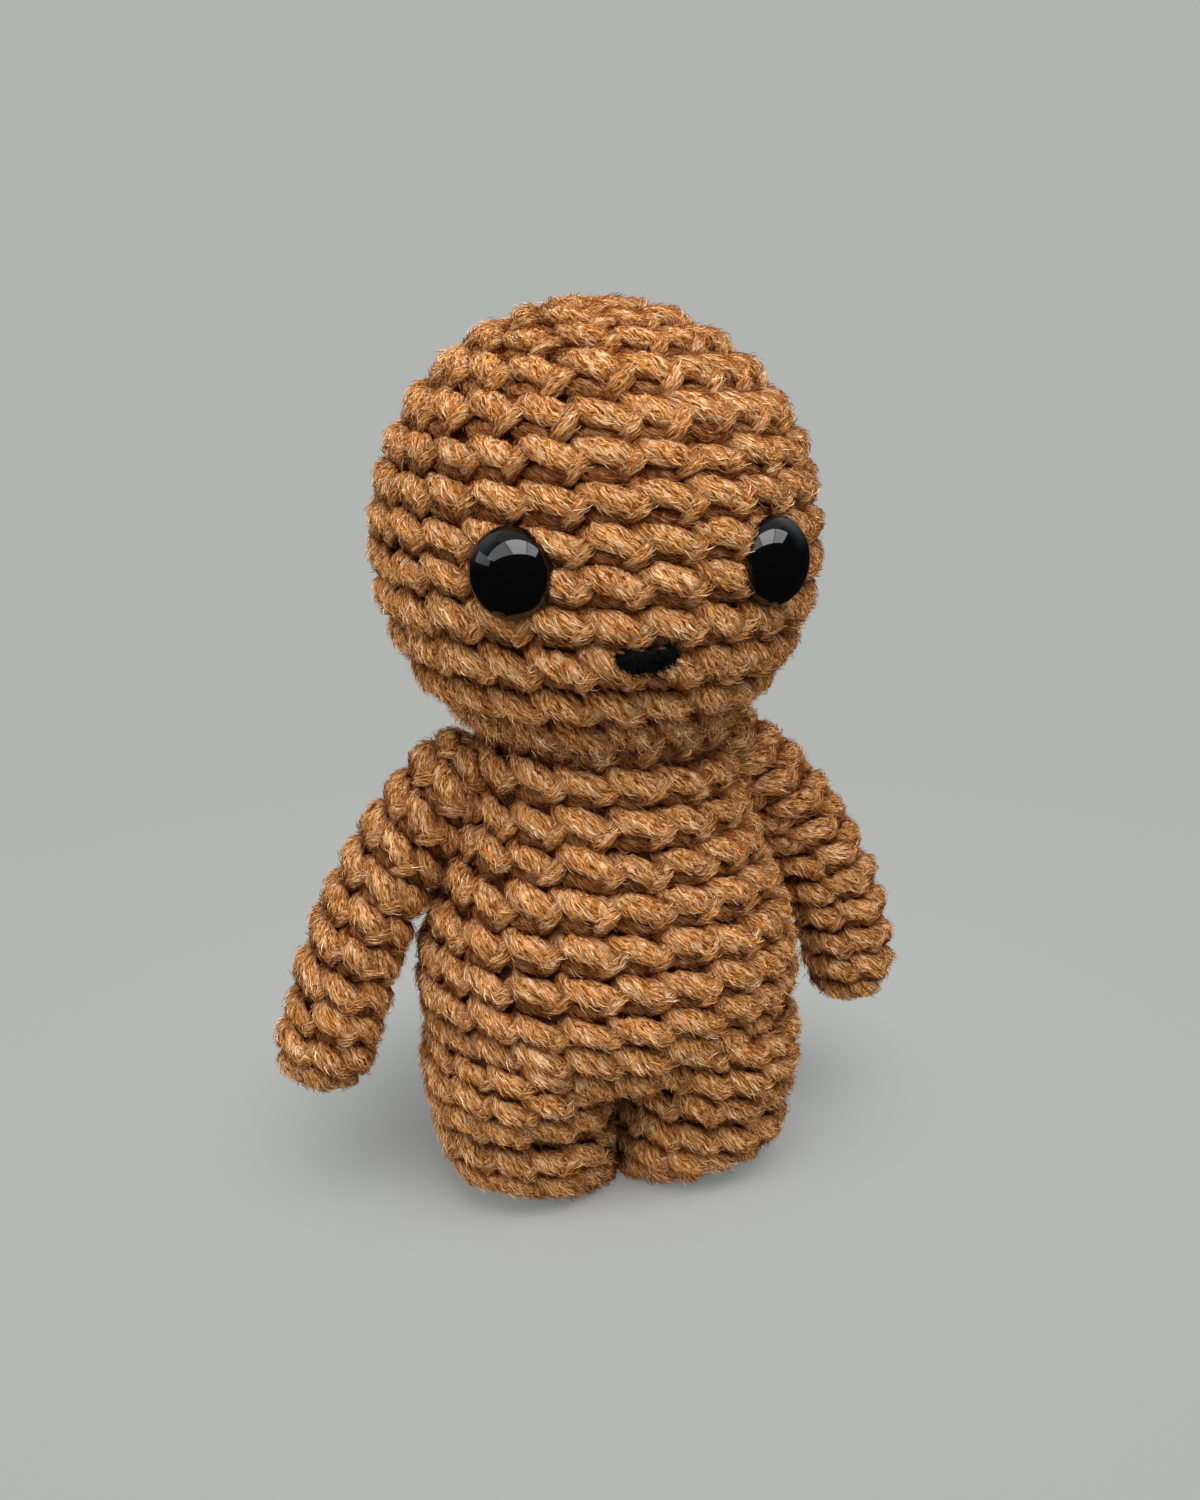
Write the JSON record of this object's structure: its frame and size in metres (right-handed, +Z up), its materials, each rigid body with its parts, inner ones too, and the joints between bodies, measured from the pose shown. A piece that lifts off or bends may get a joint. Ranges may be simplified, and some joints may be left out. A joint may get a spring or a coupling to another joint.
{
  "type": "amigurumi doll",
  "caption": "Small standing crocheted doll with a ball head, pear body, short legs, sewn-on arms, domed black eyes and a stitched mouth.",
  "frame": {"origin": "on the floor, below the middle of the doll's overall box", "axes": "+Z up along the doll's height, the face looks along -Y, and the doll's own left side is +X"},
  "size_m": [0.0825, 0.053, 0.11],
  "materials": {
    "crocheted_yarn": "single crochet in plied worsted acrylic yarn",
    "sewing_yarn": "plied yarn, sewn",
    "fibre_filling": "loose polyester fibre",
    "mouth_yarn": "plied yarn, embroidered",
    "eye_plastic": "moulded, glossy",
    "washer_plastic": "moulded"
  },
  "bodies": {
    "torso": {"torso_cover": "crocheted_yarn", "torso_filling": "fibre_filling", "leg_cover_left": "crocheted_yarn", "leg_filling_left": "fibre_filling", "leg_cover_right": "crocheted_yarn", "leg_filling_right": "fibre_filling"},
    "neck": {"neck_cover": "crocheted_yarn"},
    "head": {"head_cover": "crocheted_yarn", "head_filling": "fibre_filling", "eye_left": "eye_plastic", "eye_right": "eye_plastic", "eye_washer_left": "washer_plastic", "eye_washer_right": "washer_plastic", "mouth_stitch": "mouth_yarn", "crown_yarn": "sewing_yarn"},
    "shoulder_left": {"arm_seam_left": "sewing_yarn"},
    "arm_left": {"arm_cover_left": "crocheted_yarn", "arm_filling_left": "fibre_filling"},
    "shoulder_right": {"arm_seam_right": "sewing_yarn"},
    "arm_right": {"arm_cover_right": "crocheted_yarn", "arm_filling_right": "fibre_filling"}
  },
  "joints": [
    {"name": "head_turn", "type": "hinge", "parent": "torso", "child": "neck", "pos_m": [0, 0, 0.0582], "axis": [0, 0, 1], "range_deg": [-20, 20], "stiffness_Nm_per_rad": 0.03},
    {"name": "head_nod", "type": "hinge", "parent": "neck", "child": "head", "pos_m": [0, 0, 0.08156], "axis": [1, 0, 0], "range_deg": [-8, 8], "stiffness_Nm_per_rad": 0.08},
    {"name": "arm_swing_left", "type": "hinge", "parent": "torso", "child": "shoulder_left", "pos_m": [0.01999, 0.00573, 0.053], "axis": [0.9285, 0.2662, 0.2588], "range_deg": [-70, 40], "stiffness_Nm_per_rad": 0.002},
    {"name": "arm_lift_left", "type": "hinge", "parent": "shoulder_left", "child": "arm_left", "pos_m": [0.01999, 0.00573, 0.053], "axis": [0.2756, -0.9613, 0], "range_deg": [0, 60], "stiffness_Nm_per_rad": 0.002},
    {"name": "arm_swing_right", "type": "hinge", "parent": "torso", "child": "shoulder_right", "pos_m": [-0.02081, 0.00073, 0.053], "axis": [0.9653, -0.0337, -0.2588], "range_deg": [-70, 40], "stiffness_Nm_per_rad": 0.002},
    {"name": "arm_lift_right", "type": "hinge", "parent": "shoulder_right", "child": "arm_right", "pos_m": [-0.02081, 0.00073, 0.053], "axis": [0.0349, 0.9994, 0], "range_deg": [0, 60], "stiffness_Nm_per_rad": 0.002}
  ]
}
